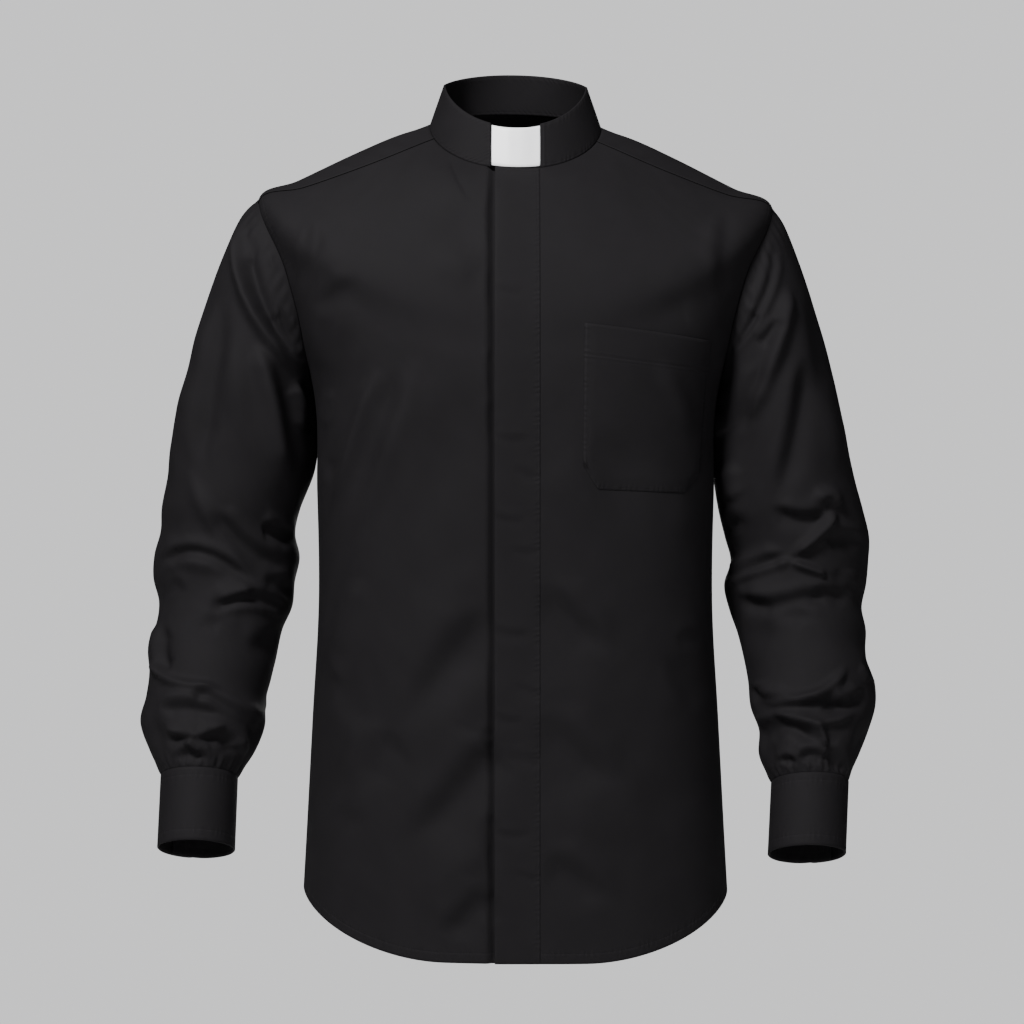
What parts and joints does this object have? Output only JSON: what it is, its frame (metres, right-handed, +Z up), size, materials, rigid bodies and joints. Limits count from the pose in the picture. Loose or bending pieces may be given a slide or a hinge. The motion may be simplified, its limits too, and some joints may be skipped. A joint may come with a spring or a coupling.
{
  "type": "clergy shirt",
  "caption": "Black long-sleeved clergy shirt in its hollow worn form, with a standing tab collar, white collar tab, fly front, chest pocket and curved hem.",
  "frame": {"origin": "middle of the neck's base, between the two points where the shirt lies on the wearer's shoulders beside the collar", "axes": "+Z up the wearer's spine, -Y out of the front closing, +X towards the wearer's left hand"},
  "size_m": [0.6704, 0.2637, 0.8244],
  "materials": {
    "black_poplin": "fine plain-woven poplin with a soft satin sheen",
    "white_tab": "smooth stiff strip, semi-matt",
    "button": "polished black resin"
  },
  "bodies": {
    "root": {"right_front": "black_poplin", "left_front": "black_poplin", "fly_placket": "black_poplin", "pocket": "black_poplin", "yoke": "black_poplin", "back": "black_poplin", "right_sleeve": "black_poplin", "right_sleeve_placket": "black_poplin", "right_cuff": "black_poplin", "right_cuff_button": "button", "left_sleeve": "black_poplin", "left_sleeve_placket": "black_poplin", "left_cuff": "black_poplin", "left_cuff_button": "button", "collar": "black_poplin", "collar_tab": "white_tab"}
  },
  "joints": []
}
